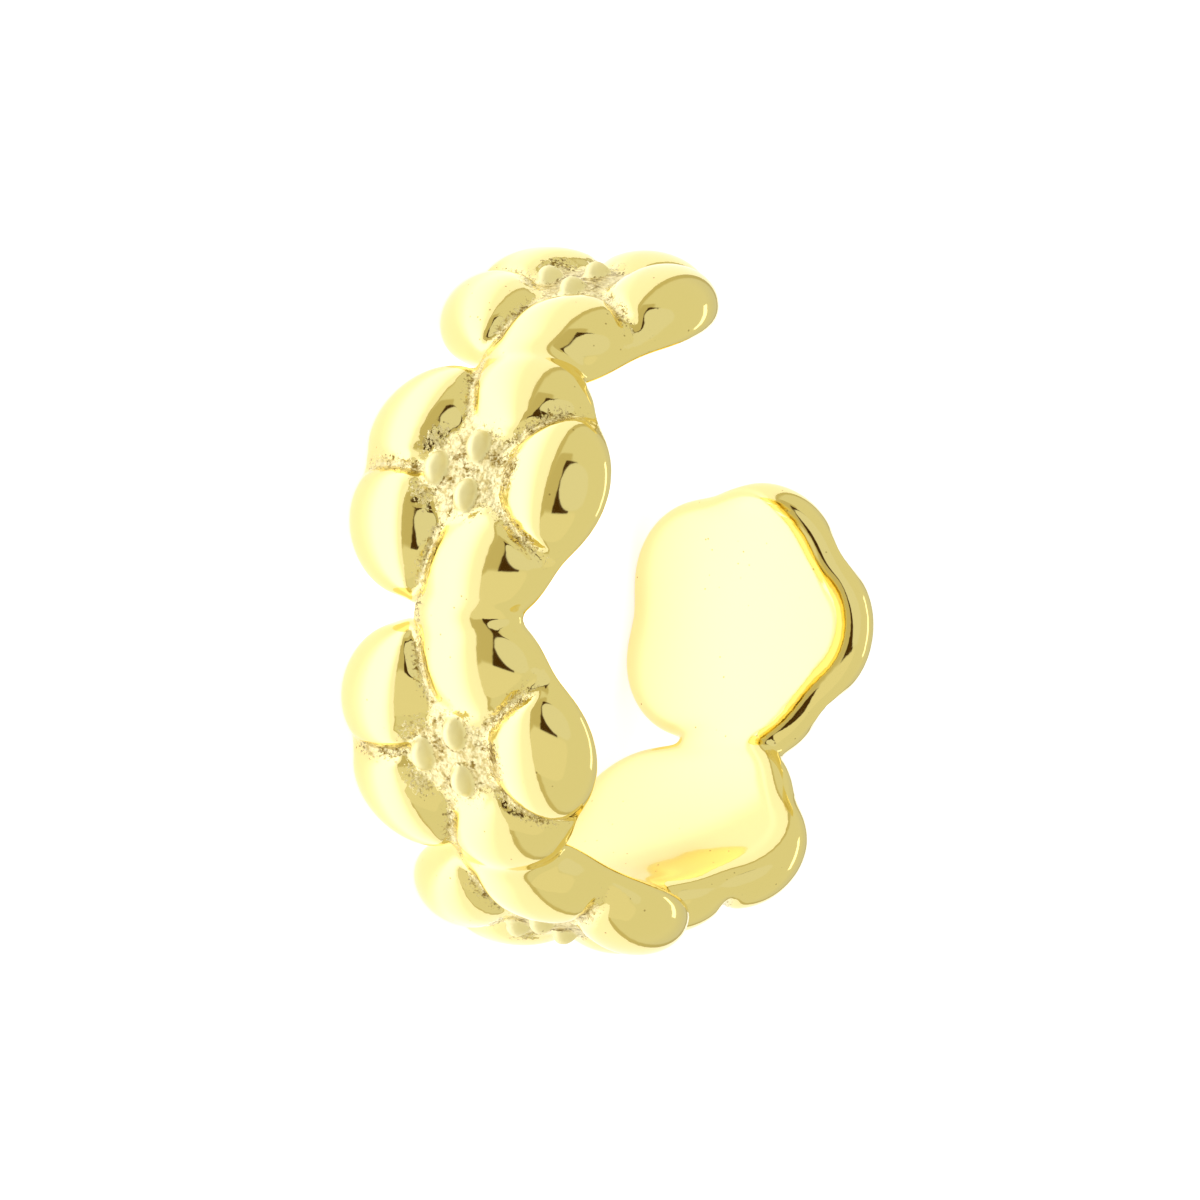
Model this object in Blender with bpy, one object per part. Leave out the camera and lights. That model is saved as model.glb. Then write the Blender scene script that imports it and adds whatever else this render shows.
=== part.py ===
"""Open ear cuff: a row of five-petalled flowers, cast in one piece round an open ring.

The cuff lies on its side: the ring's axis is +Z, the lowest petals touch the plane z = 0
and the opening faces +Y. Lengths are in metres, angles in degrees where a name ends in _DEG.
Places on a flower are given as (round, up, level): the length round the ring from the flower's
middle, the height above it, and the level above the ring's smooth inner face.
"""

import math

import bpy
from mathutils import Matrix

MM = 0.001

# Ring
INNER_RADIUS = 5.0 * MM
FLOWER_COUNT = 6
FLOWER_OVERLAP = 0.48 * MM  # how far the side petals of two neighbours run into each other

# Petals
PETAL_COUNT = 5
FIRST_PETAL_DEG = 90.0  # one petal of each flower points straight up
PETAL_DISTANCE = 1.50 * MM  # flower's middle to a petal's middle
PETAL_LENGTH = 1.94 * MM  # outwards from the flower's middle
PETAL_WIDTH = 2.44 * MM
PETAL_LEVEL = 0.39 * MM  # inner face to the widest part of a petal
PETAL_RISE = 0.79 * MM  # widest part of a petal to its crown
FLOWER_STRETCH = 1.06  # a flower's width round the ring, against the same flower's height

# Bridges, one between each two neighbours, where their side petals run together
BRIDGE_LENGTH = 1.90 * MM  # round the ring
BRIDGE_WIDTH = 1.96 * MM  # up
BRIDGE_RISE = 0.60 * MM  # widest part of a petal to the bridge's top
BRIDGE_HEIGHT = 0.16 * MM  # flower's middle up to the bridge's middle

# Sunk middle
MIDDLE_RADIUS = 2.05 * MM
MIDDLE_LEVEL = 0.88 * MM  # inner face to the top of the sunk middle

# Stamens
STAMEN_LENGTH = 0.66 * MM  # round the ring
STAMEN_WIDTH = 0.40 * MM
STAMEN_DROP = 0.12 * MM  # flower's middle down to the middle of its stamens
STAMEN_SINK = 0.10 * MM  # top of the sunk middle down to a stamen's widest part
STAMEN_RISE = 0.32 * MM  # widest part of a stamen to its top
STAMEN_DISTANCE = 0.46 * MM  # middle of the stamens to a stamen's middle
STAMEN_LEAN_DEG = 20.0  # how far their tops tip down
STAMEN_COUNT = 3
FIRST_STAMEN_DEG = 30.0

# Facets
PETAL_SEGMENTS = 20
PETAL_RINGS = 10
STAMEN_SEGMENTS = 10
STAMEN_RINGS = 6
BORE_SEGMENTS = 72
BORE_CLEARANCE = 1.0 * MM  # the bore's cutter runs this far past the cuff's two edges
SHORTEST_EDGE = 0.002 * MM  # corners nearer than this, where domes meet, become one


def petal_circle():
    """The radius along which the flowers are spaced, through the widest part of the petals."""
    return INNER_RADIUS + PETAL_LEVEL


def petal_angles():
    """The directions of a flower's petals, in radians."""
    first = math.radians(FIRST_PETAL_DEG)
    return [first + math.tau * index / PETAL_COUNT for index in range(PETAL_COUNT)]


def half_extent(turn):
    """How far a petal that points this way, in radians, reaches up from its own middle."""
    along = PETAL_LENGTH / 2 * math.sin(turn)
    across = PETAL_WIDTH / 2 * math.cos(turn)
    return math.hypot(along, across)


def reach_down():
    """How far a flower reaches below its middle."""
    return max(half_extent(turn) - PETAL_DISTANCE * math.sin(turn) for turn in petal_angles())


def reach_round():
    """How far a flower reaches round the ring from its middle."""
    quarter = math.pi / 2
    return FLOWER_STRETCH * max(
        half_extent(turn + quarter) + PETAL_DISTANCE * math.cos(turn) for turn in petal_angles()
    )


def flower_turns():
    """The flowers' places round the ring in radians, evenly about the side that faces -Y."""
    pitch = (2 * reach_round() - FLOWER_OVERLAP) / petal_circle()
    front = -math.pi / 2
    return [front + (index - (FLOWER_COUNT - 1) / 2) * pitch for index in range(FLOWER_COUNT)]


def place_on_flower(round_ring, up, level):
    """Matrix that sets a shape on the flower at +X: its X faces outwards and its Z up."""
    turn = Matrix.Rotation(round_ring / petal_circle(), 4, "Z")
    return turn @ Matrix.Translation((INNER_RADIUS + level, 0.0, reach_down() + up))


def stretch():
    """Matrix that makes a shape longer round the ring."""
    return Matrix.Diagonal((1.0, FLOWER_STRETCH, 1.0, 1.0))


def make_material():
    """Polished gold plate over brass."""
    material = bpy.data.materials.new("polished_gold_plate")
    material.use_nodes = True
    shader = material.node_tree.nodes["Principled BSDF"]
    shader.inputs["Base Color"].default_value = (0.86, 0.68, 0.28, 1.0)
    shader.inputs["Metallic"].default_value = 1.0
    shader.inputs["Roughness"].default_value = 0.12
    return material


def make_collection(name):
    """A new collection under the scene."""
    collection = bpy.data.collections.new(name)
    bpy.context.scene.collection.children.link(collection)
    return collection


def move_to(part, collection):
    """Take an object out of its collections and put it in this one."""
    for old in list(part.users_collection):
        old.objects.unlink(part)
    collection.objects.link(part)


def add_dome(name, collection, segments, rings, half_sizes, place):
    """An ellipsoid with half sizes (outwards, long, across), its poles outwards and inwards.

    Its facets straddle its middle planes, so no two domes share a point where they mirror each other.
    """
    bpy.ops.mesh.primitive_uv_sphere_add(segments=segments, ring_count=rings, radius=1.0)
    dome = bpy.context.object
    dome.name = name
    outwards, long, across = half_sizes
    half_facet = Matrix.Rotation(math.pi / segments, 4, "Z")
    poles_outwards = Matrix.Rotation(math.pi / 2, 4, "Y")
    shape = Matrix.Diagonal((across, long, outwards, 1.0)) @ half_facet
    dome.data.transform(place @ poles_outwards @ shape)
    move_to(dome, collection)
    return dome


def add_petals(collection):
    """The domed petals of the flower at +X."""
    half_sizes = (PETAL_RISE, PETAL_LENGTH / 2, PETAL_WIDTH / 2)
    for index, turn in enumerate(petal_angles(), start=1):
        round_ring = FLOWER_STRETCH * PETAL_DISTANCE * math.cos(turn)
        up = PETAL_DISTANCE * math.sin(turn)
        place = place_on_flower(round_ring, up, PETAL_LEVEL) @ stretch() @ Matrix.Rotation(turn, 4, "X")
        add_dome(f"petal_{index}", collection, PETAL_SEGMENTS, PETAL_RINGS, half_sizes, place)


def add_stamens(collection):
    """The small ovals in the flower's middle, all long round the ring."""
    half_sizes = (STAMEN_RISE, STAMEN_LENGTH / 2, STAMEN_WIDTH / 2)
    lean = Matrix.Rotation(math.radians(STAMEN_LEAN_DEG), 4, "Y")
    for index in range(STAMEN_COUNT):
        turn = math.radians(FIRST_STAMEN_DEG) + math.tau * index / STAMEN_COUNT
        place = place_on_flower(
            FLOWER_STRETCH * STAMEN_DISTANCE * math.cos(turn),
            STAMEN_DISTANCE * math.sin(turn) - STAMEN_DROP,
            MIDDLE_LEVEL - STAMEN_SINK,
        )
        name = f"stamen_{index + 1}"
        add_dome(name, collection, STAMEN_SEGMENTS, STAMEN_RINGS, half_sizes, place @ lean)


def add_boolean(part, name, operation, operand):
    """A Boolean with an object or with all objects of a collection."""
    boolean = part.modifiers.new(name, "BOOLEAN")
    boolean.operation = operation
    boolean.solver = "EXACT"
    if isinstance(operand, bpy.types.Collection):
        boolean.operand_type = "COLLECTION"
        boolean.collection = operand
    else:
        boolean.object = operand


def applied_mesh(part):
    """The mesh that the part's modifiers give."""
    depsgraph = bpy.context.evaluated_depsgraph_get()
    return bpy.data.meshes.new_from_object(part.evaluated_get(depsgraph))


def make_bridge_mesh():
    """The low saddle that two neighbours share, at +X."""
    forms = make_collection("bridge_forms")
    half_sizes = (BRIDGE_RISE, BRIDGE_LENGTH / 2, BRIDGE_WIDTH / 2)
    place = place_on_flower(0.0, BRIDGE_HEIGHT, PETAL_LEVEL)
    bridge = add_dome("bridge", forms, PETAL_SEGMENTS, PETAL_RINGS, half_sizes, place)
    mesh = bridge.data
    bpy.data.objects.remove(bridge)
    bpy.data.collections.remove(forms)
    return mesh


def make_flower_mesh():
    """One flower, fused from its sunk middle, petals and stamens, at +X."""
    forms = make_collection("flower_forms")
    middle_sizes = (MIDDLE_LEVEL, MIDDLE_RADIUS, MIDDLE_RADIUS)
    middle_place = place_on_flower(0.0, 0.0, 0.0) @ stretch()
    core = make_collection("flower_core")
    middle = add_dome("flower_middle", core, PETAL_SEGMENTS, PETAL_RINGS, middle_sizes, middle_place)
    add_petals(forms)
    add_stamens(forms)
    add_boolean(middle, "fuse_flower", "UNION", forms)
    mesh = applied_mesh(middle)
    mesh.name = "flower"
    for collection in (forms, core):
        for form in list(collection.objects):
            bpy.data.objects.remove(form)
        bpy.data.collections.remove(collection)
    return mesh


def add_bore(collection):
    """The cylinder that cuts the smooth inner face."""
    height = reach_down() + PETAL_DISTANCE + PETAL_WIDTH + 2 * BORE_CLEARANCE
    bpy.ops.mesh.primitive_cylinder_add(vertices=BORE_SEGMENTS, radius=INNER_RADIUS, depth=height)
    bore = bpy.context.object
    bore.name = "bore"
    bore.data.transform(Matrix.Translation((0.0, 0.0, height / 2 - BORE_CLEARANCE)))
    bore.hide_render = True
    bore.display_type = "WIRE"
    move_to(bore, collection)
    return bore


def add_turned(name, mesh, turn, collection):
    """An object with this mesh, turned about the ring's axis."""
    turned = bpy.data.objects.new(name, mesh)
    turned.rotation_euler.z = turn
    collection.objects.link(turned)
    return turned


def add_guide(name, mesh, turn, collection):
    """A form that a Boolean reads and a render leaves out."""
    guide = add_turned(name, mesh, turn, collection)
    guide.hide_render = True
    guide.display_type = "WIRE"


def make_cuff():
    """The cuff: flowers and bridges fused round the ring, with the bore cut through them."""
    parts = make_collection("ear_cuff")
    cutters = make_collection("cutters")
    neighbours = bpy.data.collections.new("neighbours")
    cutters.children.link(neighbours)
    flower_mesh = make_flower_mesh()
    bridge_mesh = make_bridge_mesh()

    turns = flower_turns()
    cuff = add_turned("flower_cuff", flower_mesh, turns[0], parts)
    for index in range(1, FLOWER_COUNT):
        add_guide(f"flower_{index + 1}", flower_mesh, turns[index], neighbours)
        between = (turns[index - 1] + turns[index]) / 2
        add_guide(f"bridge_{index}", bridge_mesh, between, neighbours)
    add_boolean(cuff, "fuse_flowers", "UNION", neighbours)
    add_boolean(cuff, "cut_bore", "DIFFERENCE", add_bore(cutters))
    weld = cuff.modifiers.new("merge_short_edges", "WELD")
    weld.merge_threshold = SHORTEST_EDGE
    flower_mesh.materials.append(make_material())
    flower_mesh.shade_smooth()
    return cuff


def clear_scene():
    """Remove what the scene starts with."""
    for old in list(bpy.data.objects):
        bpy.data.objects.remove(old)


clear_scene()
make_cuff()
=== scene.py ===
"""Looks of the flower ear cuff: soft cast forms, polished gold plate with grainy recesses, stage and camera.

Laid out as an add-on and run as a script. The cuff's skin is grown by Geometry Nodes from a depth field:
domes for the petals, a sunk middle, bridges and stamens, all blended and cut by the bore.
Properties are in metres. The trees work in millimetres and scale the finished skin.
"""

import math

import bpy
from mathutils import Matrix, Vector


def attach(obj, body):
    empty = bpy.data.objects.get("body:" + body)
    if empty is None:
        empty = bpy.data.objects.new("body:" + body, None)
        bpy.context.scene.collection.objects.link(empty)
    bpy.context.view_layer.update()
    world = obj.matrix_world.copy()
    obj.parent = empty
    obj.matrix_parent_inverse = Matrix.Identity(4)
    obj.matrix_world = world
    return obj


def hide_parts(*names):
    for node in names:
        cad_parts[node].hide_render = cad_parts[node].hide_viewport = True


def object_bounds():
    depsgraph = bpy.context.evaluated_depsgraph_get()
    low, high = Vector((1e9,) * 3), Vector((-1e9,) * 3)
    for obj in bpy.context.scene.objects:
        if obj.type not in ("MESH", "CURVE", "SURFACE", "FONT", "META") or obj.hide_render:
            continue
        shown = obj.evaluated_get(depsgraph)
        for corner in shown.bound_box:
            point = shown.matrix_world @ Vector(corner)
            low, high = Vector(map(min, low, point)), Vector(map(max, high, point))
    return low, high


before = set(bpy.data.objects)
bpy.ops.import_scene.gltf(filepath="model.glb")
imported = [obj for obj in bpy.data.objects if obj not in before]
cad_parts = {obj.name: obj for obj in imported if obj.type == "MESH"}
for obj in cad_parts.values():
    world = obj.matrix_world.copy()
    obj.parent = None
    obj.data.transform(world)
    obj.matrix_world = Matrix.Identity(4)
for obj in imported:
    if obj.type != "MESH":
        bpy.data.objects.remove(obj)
CAD_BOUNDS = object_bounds()

bl_info = {
    "name": "Flower ear cuff",
    "version": (1, 0, 0),
    "blender": (4, 5, 0),
    "location": "View3D > Sidebar > Ear cuff",
    "description": "Makes a cast gold ear cuff of five-petalled flowers, with its stage and camera",
    "category": "Add Mesh",
}

MM = 0.001
FLOWER_COUNT = 6
PETAL_COUNT = 5
STAMEN_COUNT = 3
FIRST_PETAL_DEG = 90.0
FIRST_STAMEN_DEG = 30.0
PETAL_TURNS = [
    math.radians(FIRST_PETAL_DEG + 360.0 * index / PETAL_COUNT) for index in range(PETAL_COUNT)
]
STAMEN_TURNS = [
    math.radians(FIRST_STAMEN_DEG + 360.0 * index / STAMEN_COUNT) for index in range(STAMEN_COUNT)
]
SIDE_PETAL_TURN = PETAL_TURNS[1]  # the petal that points back to the neighbour before
LEVEL_ONLY = (1.0, 1.0, 0.0)  # takes the height out of a place
NOISE_LOW, NOISE_HIGH = 0.3, 0.7  # nearly all of a noise's values lie between these

# The depth field, in millimetres
FAR = 10.0  # a depth that no blend reaches
TINY = 0.0001  # the least that a depth is divided by
VALLEY_FOOT = 0.4  # level above the inner face where the valleys begin
VALLEY_RECESS = 0.15  # recess that a valley counts as at its middle
LUMP_SIZE = 0.16  # from one lump of the cast surface to the next
LUMP_EDGE = 0.06  # recess at which the lumps have their full height
STAMEN_EDGE = 4.0  # how much faster the recess deepens outside a stamen than beside a petal

# The skin, in millimetres
SETTLE_STEPS = 2  # times that the skin's points are moved onto the field
PROBE = 0.004  # half the distance over which the field's slope is measured
FLATTEST = 0.05  # the least squared slope that a step is worked out with
LONGEST_STEP = 0.06  # that a point may move in one step
MARGIN = 0.25  # empty space round the cuff

# The plate's grain: sizes and heights in millimetres, the rest in a noise's own values
STIPPLE_SIZE = 0.05  # grains that break up the recesses' borders
STIPPLE_DEPTH = 0.16  # recess that the largest of these grains cover
MASK_EDGE = 0.02  # recess over which the polish ends
RIPPLE_SIZE = 0.9
RIPPLE_HEIGHT = 0.003
GRIT_SIZE = 0.075
GRIT_HEIGHT = 0.016
GRIT_STRENGTH = 0.9
SAND_SIZE = 0.06
# The pits are spots of painted shade for the cast surface's small cavities, which are not modelled.
PIT_SIZE = 0.07
PIT_CLUSTER_SIZE = 0.3
PIT_START, PIT_FULL = 1.04, 1.24  # sum of the pits' and the clusters' noise
DULL_SIZE = 0.12
DULL_START, DULL_FULL = 0.46, 0.62
DULL_SHARE = 0.75  # how much of the tan the dullest places take
# Casting holes, painted as spots of shade:
HOLE_SPACING = 0.16
HOLE_CORE, HOLE_RIM = 0.08, 0.15  # in spacings from the hole's middle
HOLE_DARKNESS = 0.6
HOLE_CHANCE = 0.975  # share of the places without a hole, where the holes are rare
HOLE_GROUP_SIZE = 1.6
HOLE_GROUP_START, HOLE_GROUP_FULL = 0.45, 0.65
HOLE_GROUP_CHANCE = 0.35  # share of the places with a hole, on top of the rare ones, in a group

# The board that the cuff lies on
BOARD_THICKNESS = 2 * MM
BOARD_SIDES = 128
BOARD_ROUGHNESS = (0.85, 0.95)
BOARD_SHEEN = 0.1
TOOTH_SIZE = 0.5  # mm

# The tent
HORIZON_BLUR = 0.02  # half the height over which room turns to tent, from one length away
NEAREST_AHEAD = 0.05  # keeps what lies beside and behind the camera off the tent's front
BACK_START, BACK_FULL = -0.45, -0.95  # behind the cuff, from one length away
FRONT_LEAN = math.radians(-11.0)  # the tent's front, turned against the camera's upright
# Colour, middle, half size, corner radius and softness of the panels and gaps on the tent's front,
# one before the other, in lengths from the cuff to that front.
FRONT_PANELS = [
    ("#C8BF94", (-0.30, 0.80), (0.37, 0.92), 0.10, 0.08),
    ("#E8E5CB", (0.15, -1.02), (0.80, 0.88), 0.30, 0.04),
    ("#47300F", (0.08, 0.55), (0.31, 0.69), 0.02, 0.02),
    ("#E4E4D5", (0.60, 0.57), (0.79, 0.65), 0.62, 0.02),
]

# The camera
IMAGE_SIZE = 1200.0  # pixels in which the ring's middle is given
SENSOR_MM = 36.0
CLIP_END = 10.0  # metres


def length(name, millimetres, description):
    """A size property in metres, written in millimetres."""
    return bpy.props.FloatProperty(
        name=name, description=description, default=millimetres * MM, min=0.0, precision=6, unit="LENGTH"
    )


def colour(name, hex_code, description):
    """A colour property, written as an sRGB hex value."""
    return bpy.props.FloatVectorProperty(
        name=name, description=description, default=linear(hex_code), min=0.0, max=1.0, subtype="COLOR"
    )


def number(name, value, description):
    """A plain number property."""
    return bpy.props.FloatProperty(name=name, description=description, default=value, precision=5)


def fraction(name, value, description):
    """A property from nought to one."""
    return bpy.props.FloatProperty(
        name=name, description=description, default=value, min=0.0, max=1.0, subtype="FACTOR"
    )


def degrees(name, value, description):
    """An angle property, written in degrees."""
    return bpy.props.FloatProperty(
        name=name, description=description, default=math.radians(value), subtype="ANGLE"
    )


def linear(hex_code):
    """The linear values of an sRGB hex colour."""
    channels = [int(hex_code[index : index + 2], 16) / 255.0 for index in (1, 3, 5)]
    return [c / 12.92 if c <= 0.04045 else ((c + 0.055) / 1.055) ** 2.4 for c in channels]


class CuffShape(bpy.types.PropertyGroup):
    """Sizes of the ring and of one flower."""

    inner_radius: length("Inner radius", 5.0, "From the ring's axis to its smooth inner face")
    flower_overlap: length("Flower overlap", 0.48, "How far the side petals of two neighbours meet")
    petal_distance: length("Petal distance", 1.50, "From a flower's middle to a petal's middle")
    petal_length: length("Petal length", 1.94, "A petal's size outwards from the flower's middle")
    petal_width: length("Petal width", 2.44, "A petal's size across")
    petal_level: length("Petal level", 0.39, "From the inner face to a petal's widest part")
    petal_rise: length("Petal rise", 0.79, "From a petal's widest part to its crown")
    middle_radius: length("Middle radius", 2.05, "Half the width of the sunk middle")
    middle_level: length("Middle level", 0.88, "From the inner face to the sunk middle's top")
    bridge_length: length("Bridge length", 1.90, "A bridge's size round the ring")
    bridge_width: length("Bridge width", 1.96, "A bridge's size along the ring's axis")
    bridge_rise: length("Bridge rise", 0.60, "From a petal's widest part to a bridge's top")
    bridge_height: length("Bridge height", 0.16, "From a flower's middle up to a bridge's middle")
    stamen_length: length("Stamen length", 0.66, "A stamen's size round the ring")
    stamen_width: length("Stamen width", 0.40, "A stamen's size across")
    stamen_drop: length("Stamen drop", 0.12, "From a flower's middle down to the middle of its stamens")
    stamen_sink: length("Stamen sink", 0.10, "From the middle's top down to a stamen's widest part")
    stamen_rise: length("Stamen rise", 0.32, "From a stamen's widest part to its top")
    stamen_distance: length("Stamen distance", 0.46, "From a flower's middle to a stamen's middle")
    stamen_lean: degrees("Stamen lean", 20.0, "How far the stamens' tops tip down")
    crease: length("Crease", 0.12, "How soft the creases between the petals are")
    foot_crease: length("Foot crease", 1.0, "How soft those creases are near the inner face")
    valley_width: length("Valley width", 0.26, "Width of the cast valley between two petals")
    valley_depth: length("Valley depth", 0.07, "How far that valley is sunk")
    joint: length("Joint", 0.30, "How soft the crease between two flowers is")
    web: length("Web", 0.20, "How soft the petals' feet run into the sunk middle")
    stamen_foot: length("Stamen foot", 0.06, "How soft a stamen runs into the middle")
    bowl_radius: length("Bowl radius", 1.15, "Half the width of the unpolished bowl round the middle")
    bowl_level: length("Bowl level", 1.20, "From the inner face to the bowl's rim")
    bowl_rise: length("Bowl rise", 0.60, "How deep the bowl is")
    cast_lumps: length("Cast lumps", 0.03, "Height of the lumps in the unpolished recesses")
    inner_edge: length("Inner edge", 0.42, "How round the edge of the inner face is")
    flower_stretch: number("Flower stretch", 1.06, "A flower's width round the ring against its height")
    voxel: length("Voxel", 0.066, "Spacing of the skin's points")


class CuffFinish(bpy.types.PropertyGroup):
    """Colours and roughness of the plated casting."""

    gold: colour("Gold", "#F9E8A0", "Polished pale yellow gold plate")
    grain: colour("Grain", "#F6E6AE", "Unpolished plate in the recesses")
    # Painted shade for the pits and casting holes of the recesses.
    pit: colour("Pit", "#8F7330", "Darkened plate in the pits of the recesses")
    tan: colour("Tan", "#C2A85C", "Duller plate between the bright grains")
    # A paler plate than the gold, so that the matt stamens look lit: a painted highlight.
    satin: colour("Satin", "#FFF4C0", "Matt plate on the stamens")
    polish_roughness: fraction("Polish roughness", 0.07, "Roughness of the polished domes")
    satin_roughness: fraction("Satin roughness", 0.6, "Roughness of the stamens")
    grain_roughness: fraction("Grain roughness", 0.34, "Roughness of the recesses")


class StageLook(bpy.types.PropertyGroup):
    """Floor, light and camera."""

    floor: colour("Floor", "#F7F6F4", "Matt pale floor")
    tent: colour("Tent", "#E1DFC5", "The tent's walls")
    room: colour("Room", "#CBC296", "The room past the floor's edge")
    floor_radius: length("Floor radius", 40.0, "Half the floor's width")
    glow_offset: length("Glow offset", 4.0, "From the cuff to the brightest place of the board, camerawards")
    glow_core: length("Glow core", 4.5, "How far the board's lamp is at its brightest")
    glow_reach: length("Glow reach", 12.0, "How far the board's lamp falls off")
    glow: colour("Glow", "#CCDAFF", "The board's cool lamp at its core")
    glow_far: colour("Glow far", "#D6E0FF", "The board's light past the lamp's reach")
    glow_strength: number("Glow strength", 1.45, "Brightness of the board's own light at its core")
    glow_edge: number("Glow edge", 0.55, "Brightness of the board's own light past its reach")
    # A ring of painted shade in the board's glow under the cuff, in place of the cuff's contact shadow:
    shade: fraction("Shade", 0.2, "Share of the lamp's light that is left under the cuff")
    shade_radius: length("Shade radius", 5.6, "Radius of the shaded ring under the cuff")
    shade_core: length("Shade core", 0.5, "Half the width of the shaded ring's darkest part")
    shade_reach: length("Shade reach", 1.5, "Half the whole width of the shaded ring")
    key_power: number("Key power", 0.0006, "Watts of the soft light above the floor")
    key_height: length("Key height", 26.0, "From the floor to the soft light")
    key_size: length("Key size", 22.0, "The soft light's width")
    strip_power: number("Strip power", 0.00105, "Watts of the strip light behind the cuff")
    strip_turn: degrees("Strip turn", 110.0, "From the camera round to the strip")
    strip_distance: length("Strip distance", 60.0, "From the cuff to the strip")
    strip_width: length("Strip width", 8.0, "The strip's width")
    strip_length: length("Strip length", 42.0, "The strip's length")
    back_gain: fraction("Back gain", 0.85, "Brightness of the wall behind the cuff, against the others")
    azimuth: degrees("Azimuth", -54.245, "Camera's bearing from -Y")
    elevation: degrees("Elevation", 27.947, "Camera's angle above the floor")
    roll: degrees("Roll", 95.01, "Camera's turn about its view")
    distance: length("Distance", 193.6, "From the camera to the ring's middle")
    frame_width: length("Frame width", 21.02, "Width of the view at the ring's middle")
    ring_x: number("Ring X", 607.7, "The ring's middle in the image, in pixels from the left")
    ring_y: number("Ring Y", 600.7, "The ring's middle in the image, in pixels from the top")


def add(tree, kind, links=(), **settings):
    """Add a node: settings are its properties, links the values or sources of its inputs in order."""
    node = tree.nodes.new(kind)
    for name, value in settings.items():
        setattr(node, name, value)
    sources = links.items() if isinstance(links, dict) else enumerate(links)
    for key, value in sources:
        if isinstance(value, bpy.types.Node):
            value = value.outputs[0]
        if isinstance(value, bpy.types.NodeSocket):
            tree.links.new(value, node.inputs[key])
        else:
            node.inputs[key].default_value = value
    return node


def calc(tree, operation, *values):
    """A number worked out from others."""
    return add(tree, "ShaderNodeMath", values, operation=operation)


def calc_vector(tree, operation, *values):
    """A vector, or its length, worked out from others."""
    return add(tree, "ShaderNodeVectorMath", values, operation=operation)


def scaled(tree, vector, scale):
    """A vector times a number."""
    return add(tree, "ShaderNodeVectorMath", {"Vector": vector, "Scale": scale}, operation="SCALE")


def ramp(tree, value, start, end, low=0.0, high=1.0, smooth=False):
    """A number that goes from low to high as another goes from start to end, and stays there past them."""
    kind = "SMOOTHSTEP" if smooth else "LINEAR"
    return add(tree, "ShaderNodeMapRange", [value, start, end, low, high], interpolation_type=kind)


def noise(tree, place, size, detail, roughness=0.5):
    """A noise with patches of this size in millimetres, at a place in metres."""
    inputs = {"Vector": place, "Scale": 1 / (size * MM), "Detail": detail, "Roughness": roughness}
    return add(tree, "ShaderNodeTexNoise", inputs)


def blend(tree, factor, start, end):
    """The colour between two colours."""
    mix = add(tree, "ShaderNodeMix", {0: factor, 6: start, 7: end}, data_type="RGBA")
    return mix.outputs[2]


def new_tree(name, inputs, outputs):
    """A Geometry Nodes tree with these named sockets, its input node and its output node."""
    tree = bpy.data.node_groups.new(name, "GeometryNodeTree")
    for in_out, sockets in (("INPUT", inputs), ("OUTPUT", outputs)):
        for socket_name, kind in sockets:
            tree.interface.new_socket(socket_name, in_out=in_out, socket_type=f"NodeSocket{kind}")
    return tree, tree.nodes.new("NodeGroupInput"), tree.nodes.new("NodeGroupOutput")


def half_extent(shape, turn):
    """How far a petal that points this way reaches up from its own middle."""
    along = shape.petal_length / 2 * math.sin(turn)
    across = shape.petal_width / 2 * math.cos(turn)
    return math.hypot(along, across)


def ring_height(shape):
    """Height of the ring's middle plane above its lowest petals."""
    return max(half_extent(shape, turn) - shape.petal_distance * math.sin(turn) for turn in PETAL_TURNS)


def flower_pitch(shape):
    """The angle from one flower to the next."""
    quarter = math.pi / 2
    reach = shape.flower_stretch * max(
        half_extent(shape, turn + quarter) + shape.petal_distance * math.cos(turn) for turn in PETAL_TURNS
    )
    return (2 * reach - shape.flower_overlap) / (shape.inner_radius + shape.petal_level)


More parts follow.
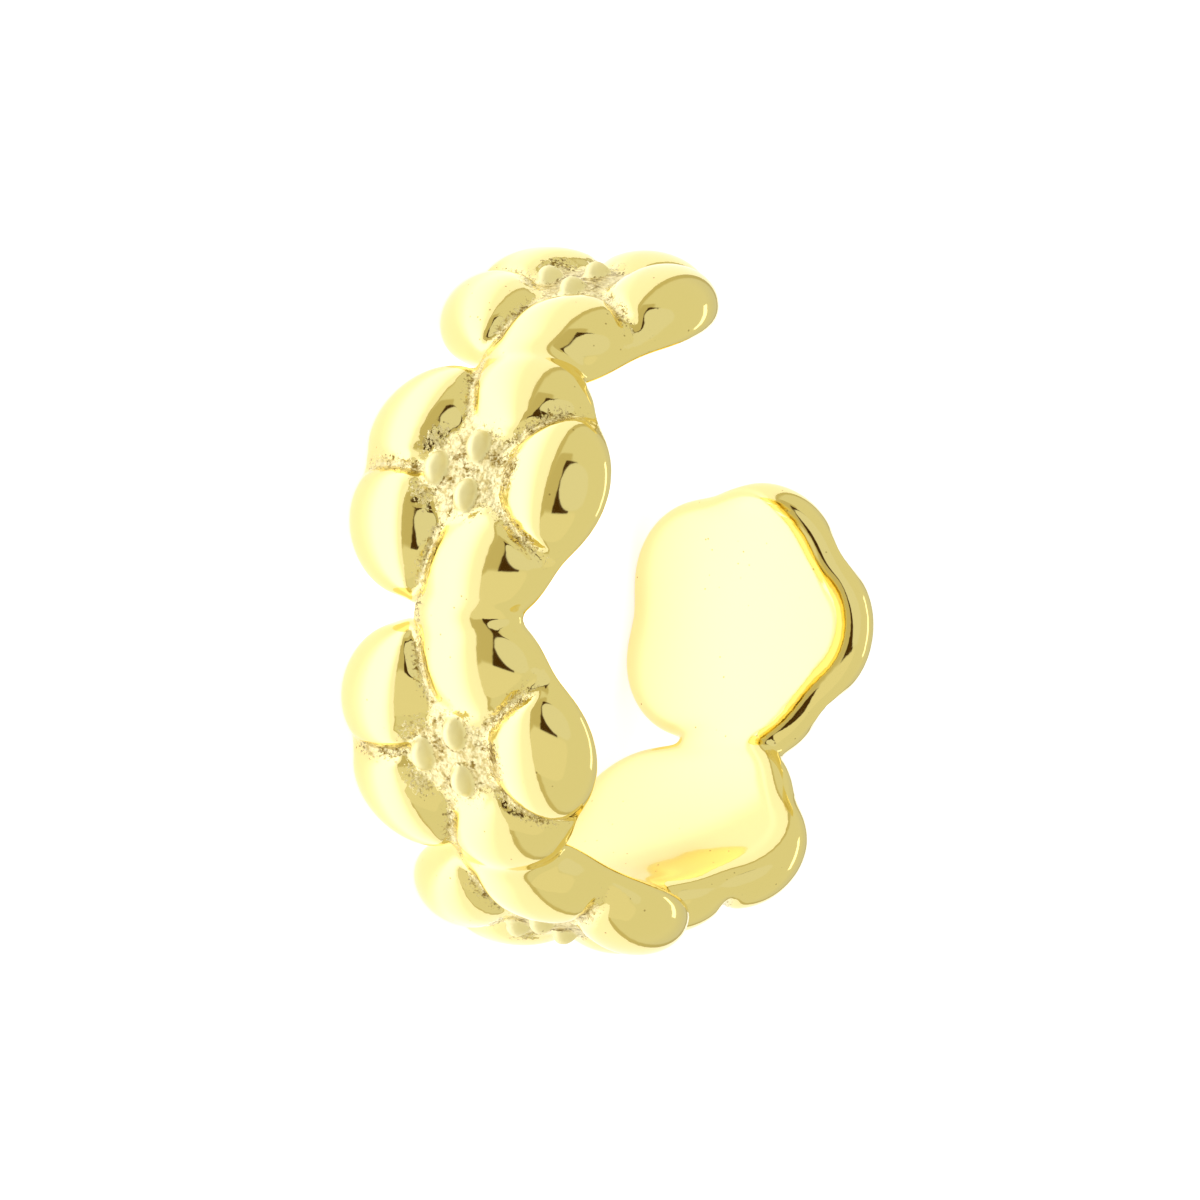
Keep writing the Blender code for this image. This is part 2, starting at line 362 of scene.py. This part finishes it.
def dome_tree():
    """Depth outside an ellipsoid that stands on the ring, in millimetres.

    Bearing, Radius and Height say where the asking point is, seen from the flower.
    Half Sizes are outwards, long and across. Turn is where the dome's length points.
    Lean tips its top down.
    """
    tree, given, result = new_tree(
        "dome",
        [
            ("Bearing", "Float"),
            ("Radius", "Float"),
            ("Height", "Float"),
            ("Dome Bearing", "Float"),
            ("Dome Radius", "Float"),
            ("Dome Height", "Float"),
            ("Turn", "Float"),
            ("Lean", "Float"),
            ("Half Sizes", "Vector"),
            ("Stretch", "Float"),
        ],
        [("Depth", "Float")],
    )
    at = given.outputs
    bearing = calc(tree, "SUBTRACT", at["Bearing"], at["Dome Bearing"])
    cosine = calc(tree, "COSINE", bearing)
    sine = calc(tree, "SINE", bearing)
    reach = calc(tree, "MULTIPLY", at["Radius"], cosine)
    outwards = calc(tree, "SUBTRACT", reach, at["Dome Radius"])
    sideways = calc(tree, "MULTIPLY", at["Radius"], sine)
    sideways = calc(tree, "DIVIDE", sideways, at["Stretch"])
    up = calc(tree, "SUBTRACT", at["Height"], at["Dome Height"])
    local = add(tree, "ShaderNodeCombineXYZ", [outwards, sideways, up])
    back = calc(tree, "MULTIPLY", at["Turn"], -1.0)
    local = add(tree, "ShaderNodeVectorRotate", {"Vector": local, "Angle": back}, rotation_type="X_AXIS")
    back = calc(tree, "MULTIPLY", at["Lean"], -1.0)
    local = add(tree, "ShaderNodeVectorRotate", {"Vector": local, "Angle": back}, rotation_type="Y_AXIS")
    share = calc_vector(tree, "DIVIDE", local, at["Half Sizes"])
    steep = calc_vector(tree, "DIVIDE", share, at["Half Sizes"])
    share = calc_vector(tree, "LENGTH", share).outputs["Value"]
    steep = calc_vector(tree, "LENGTH", steep).outputs["Value"]
    past = calc(tree, "SUBTRACT", share, 1.0)
    past = calc(tree, "MULTIPLY", share, past)
    steep = calc(tree, "MAXIMUM", steep, TINY)
    depth = calc(tree, "DIVIDE", past, steep)
    tree.links.new(depth.outputs[0], result.inputs["Depth"])
    return tree


def title(name):
    """A property's name as a socket's name."""
    return name.replace("_", " ").title()


def size_sockets():
    """The sockets for the sizes that the trees take."""
    names = [name for name in CuffShape.__annotations__ if name != "voxel"]
    return [(title(name), "Float") for name in names] + [("Ring Height", "Float"), ("Flower Pitch", "Float")]


def field_tree():
    """Depth outside the cuff at a place, in millimetres.

    Recess is the depth outside what the polish reaches, and Satin is one on a stamen and nought off it.
    """
    tree, given, result = new_tree(
        "cuff_field",
        [("Place", "Vector")] + size_sockets(),
        [("Depth", "Float"), ("Recess", "Float"), ("Satin", "Float")],
    )
    dome = dome_tree()
    at = given.outputs

    x, y, height = add(tree, "ShaderNodeSeparateXYZ", [at["Place"]]).outputs
    front = calc(tree, "MULTIPLY", y, -1.0)
    bearing = calc(tree, "ARCTAN2", x, front)
    flat = calc_vector(tree, "MULTIPLY", at["Place"], LEVEL_ONLY)
    radius = calc_vector(tree, "LENGTH", flat).outputs["Value"]
    circle = calc(tree, "ADD", at["Inner Radius"], at["Petal Level"])

    last = FLOWER_COUNT - 1
    place = calc(tree, "DIVIDE", bearing, at["Flower Pitch"])
    place = calc(tree, "ADD", place, last / 2)
    flower = calc(tree, "ROUND", place)
    flower = calc(tree, "MAXIMUM", flower, 0.0)
    flower = calc(tree, "MINIMUM", flower, last)
    offset = calc(tree, "SUBTRACT", place, flower)
    side = calc(tree, "SIGN", offset)
    offset = calc(tree, "ABSOLUTE", offset)
    bearing = calc(tree, "MULTIPLY", offset, at["Flower Pitch"])

    # Past the first and the last flower there is no neighbour, so its depth is pushed far out.
    neighbour = calc(tree, "ADD", flower, side)
    neighbour = calc(tree, "SUBTRACT", neighbour, last / 2)
    neighbour = calc(tree, "ABSOLUTE", neighbour)
    missing = calc(tree, "GREATER_THAN", neighbour, (last + 1) / 2)
    missing = calc(tree, "MULTIPLY", missing, FAR)
    half_pitch = calc(tree, "MULTIPLY", at["Flower Pitch"], 0.5)

    def stand(round_ring, up, level, turn, half_sizes, stretch=1.0, start=0.0, lean=0.0):
        """A dome at a place on the flower, or on another flower that starts at an angle."""
        angle = calc(tree, "DIVIDE", round_ring, circle)
        angle = calc(tree, "ADD", angle, start)
        foot = calc(tree, "ADD", at["Inner Radius"], level)
        centre = calc(tree, "ADD", at["Ring Height"], up)
        return add(
            tree,
            "GeometryNodeGroup",
            [bearing, radius, height, angle, foot, centre, turn, lean, half_sizes, stretch],
            node_tree=dome,
        )

    def spot(distance, turn, stretch=1.0):
        """Lengths round the ring and up, from a distance and a direction."""
        long_way = calc(tree, "MULTIPLY", distance, math.cos(turn))
        long_way = calc(tree, "MULTIPLY", long_way, stretch)
        return long_way, calc(tree, "MULTIPLY", distance, math.sin(turn))

    def halves(outwards, long, across):
        """Half sizes from an outward rise and two whole sizes."""
        sizes = add(tree, "ShaderNodeCombineXYZ", [outwards, long, across])
        return calc_vector(tree, "MULTIPLY", sizes, (1.0, 0.5, 0.5))

    def stand_round(level, outwards, radius):
        """A round form with this outward rise, over the flower's middle."""
        sizes = add(tree, "ShaderNodeCombineXYZ", [outwards, radius, radius])
        return stand(0.0, 0.0, level, 0.0, sizes, at["Flower Stretch"])

    def stand_petal(turn, start=0.0):
        """One petal of the flower that starts at this angle."""
        round_ring, up = spot(at["Petal Distance"], turn, at["Flower Stretch"])
        return stand(round_ring, up, at["Petal Level"], turn, petal, at["Flower Stretch"], start)

    level = calc(tree, "SUBTRACT", radius, at["Inner Radius"])
    upper = ramp(tree, level, VALLEY_FOOT, 2 * VALLEY_FOOT)
    crease = ramp(tree, upper, 0.0, 1.0, at["Foot Crease"], at["Crease"])

    petal = halves(at["Petal Rise"], at["Petal Length"], at["Petal Width"])
    petals = nearest_petal = stand_petal(PETAL_TURNS[0])
    second_petal = FAR
    for turn in PETAL_TURNS[1:]:
        one = stand_petal(turn)
        petals = calc(tree, "SMOOTH_MIN", petals, one, crease)
        farther = calc(tree, "MAXIMUM", nearest_petal, one)
        second_petal = calc(tree, "MINIMUM", second_petal, farther)
        nearest_petal = calc(tree, "MINIMUM", nearest_petal, one)
    gap = calc(tree, "SUBTRACT", second_petal, nearest_petal)
    valley = ramp(tree, gap, 0.0, at["Valley Width"], 1.0, 0.0, smooth=True)
    valley = calc(tree, "MULTIPLY", valley, upper)
    sunk = calc(tree, "MULTIPLY", valley, at["Valley Depth"])
    petals = calc(tree, "ADD", petals, sunk)
    one = stand_petal(SIDE_PETAL_TURN, at["Flower Pitch"])
    one = calc(tree, "ADD", one, missing)
    petals = calc(tree, "SMOOTH_MIN", petals, one, at["Joint"])
    nearest_petal = calc(tree, "SMOOTH_MIN", nearest_petal, one, at["Joint"])

    middle = stand_round(0.0, at["Middle Level"], at["Middle Radius"])
    bridge = halves(at["Bridge Rise"], at["Bridge Length"], at["Bridge Width"])
    bridge = stand(0.0, at["Bridge Height"], at["Petal Level"], 0.0, bridge, start=half_pitch)
    bridge = calc(tree, "ADD", bridge, missing)
    web = calc(tree, "SMOOTH_MIN", middle, bridge, at["Web"])
    body = calc(tree, "SMOOTH_MIN", petals, web, at["Web"])
    polished = calc(tree, "SMOOTH_MIN", nearest_petal, bridge, at["Web"])

    # The brush reaches neither the valleys nor the petals' flanks round the sunk middle.
    bowl = stand_round(at["Bowl Level"], at["Bowl Rise"], at["Bowl Radius"])
    bowl = calc(tree, "MULTIPLY", bowl, -1.0)
    valley = calc(tree, "MULTIPLY", valley, VALLEY_RECESS)
    recess = calc(tree, "MAXIMUM", polished, valley)
    recess = calc(tree, "MAXIMUM", recess, bowl)
    recess = calc(tree, "MULTIPLY", recess, upper)
    lumps = noise(tree, scaled(tree, at["Place"], MM), LUMP_SIZE, 2.0)
    lumps = ramp(tree, lumps, NOISE_LOW, NOISE_HIGH, -0.5, 0.5)
    uneven = ramp(tree, recess, 0.0, LUMP_EDGE, 0.0, at["Cast Lumps"])
    lumps = calc(tree, "MULTIPLY", lumps, uneven)
    body = calc(tree, "ADD", body, lumps)

    stamen = halves(at["Stamen Rise"], at["Stamen Length"], at["Stamen Width"])
    crown = calc(tree, "SUBTRACT", at["Middle Level"], at["Stamen Sink"])
    stamens = FAR
    for turn in STAMEN_TURNS:
        round_ring, up = spot(at["Stamen Distance"], turn, at["Flower Stretch"])
        up = calc(tree, "SUBTRACT", up, at["Stamen Drop"])
        one = stand(round_ring, up, crown, 0.0, stamen, lean=at["Stamen Lean"])
        stamens = calc(tree, "MINIMUM", stamens, one)
    body = calc(tree, "SMOOTH_MIN", body, stamens, at["Stamen Foot"])
    bare = calc(tree, "MULTIPLY", stamens, STAMEN_EDGE)
    recess = calc(tree, "MINIMUM", recess, bare)
    # One on the stamens: it gives them their real matt roughness and a paler colour, which is a painted
    # highlight.
    satin = ramp(tree, stamens, 0.0, at["Stamen Foot"], 1.0, 0.0)

    bore = calc(tree, "SUBTRACT", at["Inner Radius"], radius)
    body = calc(tree, "SMOOTH_MAX", body, bore, at["Inner Edge"])
    tree.links.new(body.outputs[0], result.inputs["Depth"])
    tree.links.new(recess.outputs[0], result.inputs["Recess"])
    tree.links.new(satin.outputs[0], result.inputs["Satin"])
    return tree


def skin_tree(low, high, voxel):
    """The skin where the field's depth is nought, in a box given in millimetres.

    It carries the field's recess and satin as attributes.
    """
    tree, given, result = new_tree(
        "grow_cuff",
        [("Geometry", "Geometry"), ("Plate", "Material")] + size_sockets(),
        [("Geometry", "Geometry")],
    )
    field = field_tree()
    position = add(tree, "GeometryNodeInputPosition")

    def ask(place):
        """The field at a place, with all sizes passed on."""
        sizes = {name: given.outputs[name] for name, kind in size_sockets()}
        return add(tree, "GeometryNodeGroup", {"Place": place, **sizes}, node_tree=field)

    counts = [math.ceil((top - bottom) / voxel) for bottom, top in zip(low, high)]
    inside = calc(tree, "MULTIPLY", ask(position), -1.0)
    volume = add(tree, "GeometryNodeVolumeCube", [inside, -1.0, low, high] + counts)
    skin = add(tree, "GeometryNodeVolumeToMesh", {"Volume": volume, "Threshold": 0.0}, resolution_mode="GRID")
    for _ in range(SETTLE_STEPS):
        slopes = []
        for axis in range(3):
            probe = [PROBE if index == axis else 0.0 for index in range(3)]
            ahead = ask(calc_vector(tree, "ADD", position, probe))
            behind = ask(calc_vector(tree, "SUBTRACT", position, probe))
            slopes.append(calc(tree, "SUBTRACT", ahead, behind))
        slope = add(tree, "ShaderNodeCombineXYZ", slopes)
        slope = scaled(tree, slope, 0.5 / PROBE)
        steepness = calc_vector(tree, "DOT_PRODUCT", slope, slope).outputs["Value"]
        steepness = calc(tree, "MAXIMUM", steepness, FLATTEST)
        step = calc(tree, "DIVIDE", ask(position), steepness)
        step = calc(tree, "MINIMUM", step, LONGEST_STEP)
        step = calc(tree, "MAXIMUM", step, -LONGEST_STEP)
        step = calc(tree, "MULTIPLY", step, -1.0)
        step = scaled(tree, slope, step)
        skin = add(tree, "GeometryNodeSetPosition", {"Geometry": skin, "Offset": step})
    finish = ask(position)
    for name in ("Recess", "Satin"):
        stored = {"Geometry": skin, "Name": name.lower(), "Value": finish.outputs[name]}
        skin = add(tree, "GeometryNodeStoreNamedAttribute", stored, data_type="FLOAT", domain="POINT")
    skin = add(tree, "GeometryNodeTransform", {"Geometry": skin, "Scale": (MM, MM, MM)})
    skin = add(tree, "GeometryNodeSetShadeSmooth", [skin])
    skin = add(tree, "GeometryNodeRealizeInstances", [skin])
    skin = add(tree, "GeometryNodeSetMaterial", {"Geometry": skin, "Material": given.outputs["Plate"]})
    tree.links.new(skin.outputs[0], result.inputs["Geometry"])
    return tree


def grow(name, tree, values):
    """A plain mesh object made by a tree, with its named inputs set."""
    scene = bpy.context.scene
    seed = bpy.data.objects.new(name, bpy.data.meshes.new(name))
    scene.collection.objects.link(seed)
    modifier = seed.modifiers.new("grow", "NODES")
    modifier.node_group = tree
    for socket in tree.interface.items_tree:
        if socket.in_out == "INPUT" and socket.name in values:
            modifier[socket.identifier] = values[socket.name]
    depsgraph = bpy.context.evaluated_depsgraph_get()
    mesh = bpy.data.meshes.new_from_object(
        seed.evaluated_get(depsgraph), preserve_all_data_layers=True, depsgraph=depsgraph
    )
    seed.modifiers.remove(modifier)
    seed.data = mesh
    mesh.name = name
    return seed


def size_values(shape):
    """The trees' size inputs in millimetres, by socket name."""
    values = {title(name): getattr(shape, name) / MM for name in CuffShape.__annotations__}
    values["Flower Stretch"] = shape.flower_stretch
    values["Stamen Lean"] = shape.stamen_lean
    values["Ring Height"] = ring_height(shape) / MM
    values["Flower Pitch"] = flower_pitch(shape)
    return values


def new_material(name):
    """A material with an empty Principled shader, its tree and its shader."""
    material = bpy.data.materials.new(name)
    material.use_nodes = True
    return material, material.node_tree, material.node_tree.nodes["Principled BSDF"]


def pinhole_shade(tree, place):
    """How dark the painted shade is in the rare casting holes that the polish leaves open, which come in
    loose groups; the holes are not modelled.
    """
    cells = add(tree, "ShaderNodeTexVoronoi", {"Vector": place, "Scale": 1 / (HOLE_SPACING * MM)})
    chance = add(tree, "ShaderNodeSeparateColor", [cells.outputs["Color"]])
    groups = noise(tree, place, HOLE_GROUP_SIZE, 0.0)
    groups = ramp(tree, groups, HOLE_GROUP_START, HOLE_GROUP_FULL, 0.0, HOLE_GROUP_CHANCE)
    chance = calc(tree, "ADD", chance, groups)
    chance = calc(tree, "GREATER_THAN", chance, HOLE_CHANCE)
    hole = ramp(tree, cells.outputs["Distance"], HOLE_CORE, HOLE_RIM, HOLE_DARKNESS, 0.0)
    return calc(tree, "MULTIPLY", hole, chance)


def plate_material(finish):
    """Pale gold plate over brass, tumbled to a polish on the domes and left as cast in the recesses.

    The eye gets mirror-bright domes with a slight ripple, matt stamens with a paler colour that is a painted
    highlight, and sandy, sparkling recesses with painted shade in their pits and casting holes.
    """
    material, tree, shader = new_material("cast_polished_gold_plate")
    place = add(tree, "ShaderNodeTexCoord").outputs["Object"]
    recess = add(tree, "ShaderNodeAttribute", attribute_name="recess").outputs["Fac"]
    satin = add(tree, "ShaderNodeAttribute", attribute_name="satin").outputs["Fac"]

    # One where the polish doesn't reach, with a broken border.
    stipple = noise(tree, place, STIPPLE_SIZE, 2.0, 0.6)
    stipple = ramp(tree, stipple, NOISE_LOW, NOISE_HIGH, 0.0, STIPPLE_DEPTH)
    mask = ramp(tree, calc(tree, "SUBTRACT", recess, stipple), 0.0, MASK_EDGE)

    ripple = noise(tree, place, RIPPLE_SIZE, 1.0)
    relief = add(tree, "ShaderNodeBump", {"Strength": 1.0, "Distance": RIPPLE_HEIGHT * MM, "Height": ripple})
    grit = add(tree, "ShaderNodeTexVoronoi", {"Vector": place, "Scale": 1 / (GRIT_SIZE * MM)})
    sand = noise(tree, place, SAND_SIZE, 4.0, 0.7)
    grit = calc(tree, "ADD", grit, sand)
    strength = calc(tree, "MULTIPLY", mask, GRIT_STRENGTH)
    relief = add(
        tree,
        "ShaderNodeBump",
        {"Strength": strength, "Distance": GRIT_HEIGHT * MM, "Height": grit, "Normal": relief},
    )

    dull = noise(tree, place, DULL_SIZE, 3.0, 0.6)
    dull = ramp(tree, dull, DULL_START, DULL_FULL, 0.0, DULL_SHARE)
    # Painted shade: dark spots in loose clusters, for the shade in the cast surface's pits.
    pits = noise(tree, place, PIT_SIZE, 3.0, 0.65)
    pits = calc(tree, "ADD", pits, noise(tree, place, PIT_CLUSTER_SIZE, 1.0))
    pits = ramp(tree, pits, PIT_START, PIT_FULL)
    cast = blend(tree, dull, (*finish.grain, 1.0), (*finish.tan, 1.0))
    cast = blend(tree, pits, cast, (*finish.pit, 1.0))
    # The stamens' paler colour is a painted highlight; their roughness below is real.
    base = blend(tree, satin, (*finish.gold, 1.0), (*finish.satin, 1.0))
    base = blend(tree, mask, base, cast)
    # Painted shade in the rare casting holes.
    base = blend(tree, pinhole_shade(tree, place), base, (*finish.pit, 1.0))
    roughness = ramp(tree, satin, 0.0, 1.0, finish.polish_roughness, finish.satin_roughness)
    roughness = ramp(tree, mask, 0.0, 1.0, roughness, finish.grain_roughness)

    tree.links.new(base, shader.inputs["Base Color"])
    tree.links.new(roughness.outputs[0], shader.inputs["Roughness"])
    tree.links.new(relief.outputs[0], shader.inputs["Normal"])
    shader.inputs["Metallic"].default_value = 1.0
    return material


def floor_material(look):
    """Matt opal board over a soft lamp, with a painted shade ring in its glow under the cuff, so that no hard
    shadow shows.
    """
    material, tree, shader = new_material("matt_opal_board")
    place = add(tree, "ShaderNodeTexCoord").outputs["Object"]
    roughness = ramp(tree, noise(tree, place, TOOTH_SIZE, 3.0), 0.0, 1.0, *BOARD_ROUGHNESS)
    lamp = Matrix.Rotation(look.azimuth, 3, "Z") @ Vector((0.0, -look.glow_offset, 0.0))
    away = calc_vector(tree, "DISTANCE", place, lamp).outputs["Value"]
    near = ramp(tree, away, look.glow_core, look.glow_reach, 1.0, 0.0, smooth=True)
    # Painted shade: the glow is dimmed in a ring under the cuff's foot, in place of its contact shadow, which
    # the rims reflect.
    from_axis = calc_vector(tree, "MULTIPLY", place, LEVEL_ONLY)
    from_axis = calc_vector(tree, "LENGTH", from_axis).outputs["Value"]
    from_ring = calc(tree, "SUBTRACT", from_axis, look.shade_radius)
    from_ring = calc(tree, "ABSOLUTE", from_ring)
    shade = ramp(tree, from_ring, look.shade_core, look.shade_reach, look.shade, 1.0, smooth=True)
    near = calc(tree, "MULTIPLY", near, shade)
    glow = ramp(tree, near, 0.0, 1.0, look.glow_edge, look.glow_strength)
    tint = blend(tree, near, (*look.glow_far, 1.0), (*look.glow, 1.0))
    tree.links.new(roughness.outputs[0], shader.inputs["Roughness"])
    tree.links.new(glow.outputs[0], shader.inputs["Emission Strength"])
    tree.links.new(tint, shader.inputs["Emission Color"])
    shader.inputs["Base Color"].default_value = (*look.floor, 1.0)
    shader.inputs["Specular IOR Level"].default_value = BOARD_SHEEN
    return material


def add_floor(look):
    """The round board that the cuff lies on."""
    low = CAD_BOUNDS[0]
    bpy.ops.mesh.primitive_cylinder_add(
        vertices=BOARD_SIDES, radius=look.floor_radius, depth=BOARD_THICKNESS
    )
    floor = bpy.context.object
    floor.name = "floor"
    floor.data.transform(Matrix.Translation((0.0, 0.0, low[2] - BOARD_THICKNESS / 2)))
    floor.data.materials.append(floor_material(look))


def add_soft_light(name, shape, size, power, place):
    """A soft light that the camera doesn't see and that shines along its own -Z."""
    light = bpy.data.lights.new(name, "AREA")
    light.shape = shape
    light.size, light.size_y = size
    light.energy = power
    lamp = bpy.data.objects.new(name, light)
    lamp.matrix_world = place
    lamp.visible_camera = False
    bpy.context.scene.collection.objects.link(lamp)
    return lamp


def add_lights(look):
    """A soft light close above the floor, and a strip behind the cuff that draws its rims."""
    above = Matrix.Translation((0.0, 0.0, look.key_height))
    key = add_soft_light("tent_top", "DISK", (look.key_size, look.key_size), look.key_power, above)
    key.visible_glossy = False
    behind = view_matrix(look).to_4x4() @ Matrix.Rotation(look.strip_turn, 4, "Y")
    place = behind @ Matrix.Translation((0.0, 0.0, look.strip_distance))
    size = (look.strip_width, look.strip_length)
    add_soft_light("rim_strip", "RECTANGLE", size, look.strip_power, place)


def view_matrix(look):
    """The turn of the camera, which the tent is set up square to."""
    return (
        Matrix.Rotation(look.azimuth, 3, "Z")
        @ Matrix.Rotation(math.pi / 2 - look.elevation, 3, "X")
        @ Matrix.Rotation(look.roll, 3, "Z")
    )


def panel(tree, place, centre, half_size, corner, softness):
    """One inside a rounded panel on the tent's front, softly falling to nought outside."""
    away = calc_vector(tree, "SUBTRACT", place, (*centre, 0.0))
    away = calc_vector(tree, "ABSOLUTE", away)
    core = [size - corner for size in half_size]
    away = calc_vector(tree, "SUBTRACT", away, (*core, 0.0))
    away = calc_vector(tree, "MAXIMUM", away, (0.0, 0.0, 0.0))
    away = calc_vector(tree, "LENGTH", away).outputs["Value"]
    return ramp(tree, away, corner - softness, corner + softness, 1.0, 0.0, smooth=True)


def add_world(look):
    """The tent: even walls, a dim room below the board's edge, and the gaps where the camera looks in."""
    world = bpy.data.worlds.new("studio_tent")
    world.use_nodes = True
    tree = world.node_tree
    tree.nodes.clear()
    direction = add(tree, "ShaderNodeTexCoord").outputs["Generated"]
    height = add(tree, "ShaderNodeSeparateXYZ", [direction]).outputs["Z"]
    above = ramp(tree, height, -HORIZON_BLUR, HORIZON_BLUR)

    sides = [calc_vector(tree, "DOT_PRODUCT", direction, axis) for axis in view_matrix(look).col]
    right, up, front = (side.outputs["Value"] for side in sides)
    wall = blend(tree, above, (*look.room, 1.0), (*look.tent, 1.0))
    ahead = calc(tree, "MAXIMUM", front, NEAREST_AHEAD)
    across = calc(tree, "DIVIDE", right, ahead)
    upwards = calc(tree, "DIVIDE", up, ahead)
    place = add(tree, "ShaderNodeCombineXYZ", [across, upwards, 0.0])
    place = add(
        tree, "ShaderNodeVectorRotate", {"Vector": place, "Angle": -FRONT_LEAN}, rotation_type="Z_AXIS"
    )
    for hex_code, *form in FRONT_PANELS:
        wall = blend(tree, panel(tree, place, *form), wall, (*linear(hex_code), 1.0))
    behind = ramp(tree, front, BACK_START, BACK_FULL, 1.0, look.back_gain)

    seen = add(tree, "ShaderNodeLightPath").outputs["Is Camera Ray"]
    wall = blend(tree, seen, wall, (1.0, 1.0, 1.0, 1.0))
    strength = ramp(tree, seen, 0.0, 1.0, behind, 1.0)
    background = add(tree, "ShaderNodeBackground", [wall, strength])
    add(tree, "ShaderNodeOutputWorld", [background])
    bpy.context.scene.world = world


def add_camera(look, shape):
    """The camera at the photo's angle, aimed past the ring's middle by a small shift."""
    camera = bpy.data.cameras.new("camera")
    camera.sensor_width = SENSOR_MM
    camera.lens = SENSOR_MM * look.distance / look.frame_width
    camera.shift_x = 0.5 - look.ring_x / IMAGE_SIZE
    camera.shift_y = look.ring_y / IMAGE_SIZE - 0.5
    camera.clip_start = MM
    camera.clip_end = CLIP_END
    view = view_matrix(look).to_4x4()
    aim = Vector((0.0, 0.0, ring_height(shape)))
    placed = bpy.data.objects.new("camera", camera)
    placed.matrix_world = Matrix.Translation(aim) @ view @ Matrix.Translation((0.0, 0.0, look.distance))
    bpy.context.scene.collection.objects.link(placed)
    bpy.context.scene.camera = placed


class EARCUFF_OT_cuff(bpy.types.Operator):
    """Grow the cuff's skin from its sizes and plate it."""

    bl_idname = "earcuff.make_cuff"
    bl_label = "Make cuff"

    def execute(self, context):
        shape = context.scene.cuff_shape
        low, high = (tuple(value / MM for value in corner) for corner in CAD_BOUNDS)
        low = tuple(value - MARGIN for value in low)
        high = tuple(value + MARGIN for value in high)
        tree = skin_tree(low, high, shape.voxel / MM)
        values = size_values(shape)
        values["Plate"] = plate_material(context.scene.cuff_finish)
        cuff = grow("cast_flower_cuff", tree, values)
        if not cuff.data.polygons:
            raise RuntimeError("the cuff's skin came out empty")
        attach(cuff, "root")
        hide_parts("flower_cuff")
        return {"FINISHED"}


class EARCUFF_OT_stage(bpy.types.Operator):
    """Add the floor, the light, the tent's walls and the camera."""

    bl_idname = "earcuff.make_stage"
    bl_label = "Make stage"

    def execute(self, context):
        look = context.scene.stage_look
        context.scene.view_settings.view_transform = "Standard"
        add_floor(look)
        add_lights(look)
        add_world(look)
        add_camera(look, context.scene.cuff_shape)
        return {"FINISHED"}


class EARCUFF_PT_panel(bpy.types.Panel):
    """The cuff's sizes, finish and stage."""

    bl_idname = "EARCUFF_PT_panel"
    bl_label = "Ear cuff"
    bl_space_type = "VIEW_3D"
    bl_region_type = "UI"
    bl_category = "Ear cuff"

    def draw(self, context):
        for group_name in GROUPS:
            group = getattr(context.scene, group_name)
            box = self.layout.box()
            for name in type(group).__annotations__:
                box.prop(group, name)
        for operator in OPERATORS:
            self.layout.operator(operator.bl_idname)


GROUPS = {"cuff_shape": CuffShape, "cuff_finish": CuffFinish, "stage_look": StageLook}
OPERATORS = (EARCUFF_OT_cuff, EARCUFF_OT_stage)


def register():
    """Add the property groups, the operators and the panel."""
    for name, group in GROUPS.items():
        bpy.utils.register_class(group)
        setattr(bpy.types.Scene, name, bpy.props.PointerProperty(type=group))
    for operator in OPERATORS:
        bpy.utils.register_class(operator)
    bpy.utils.register_class(EARCUFF_PT_panel)


def unregister():
    """Take them away again."""
    bpy.utils.unregister_class(EARCUFF_PT_panel)
    for operator in reversed(OPERATORS):
        bpy.utils.unregister_class(operator)
    for name, group in reversed(GROUPS.items()):
        delattr(bpy.types.Scene, name)
        bpy.utils.unregister_class(group)


def main():
    """Register, make every piece and the stage in order."""
    register()
    bpy.ops.earcuff.make_cuff()
    bpy.ops.earcuff.make_stage()


if __name__ == "__main__":
    main()
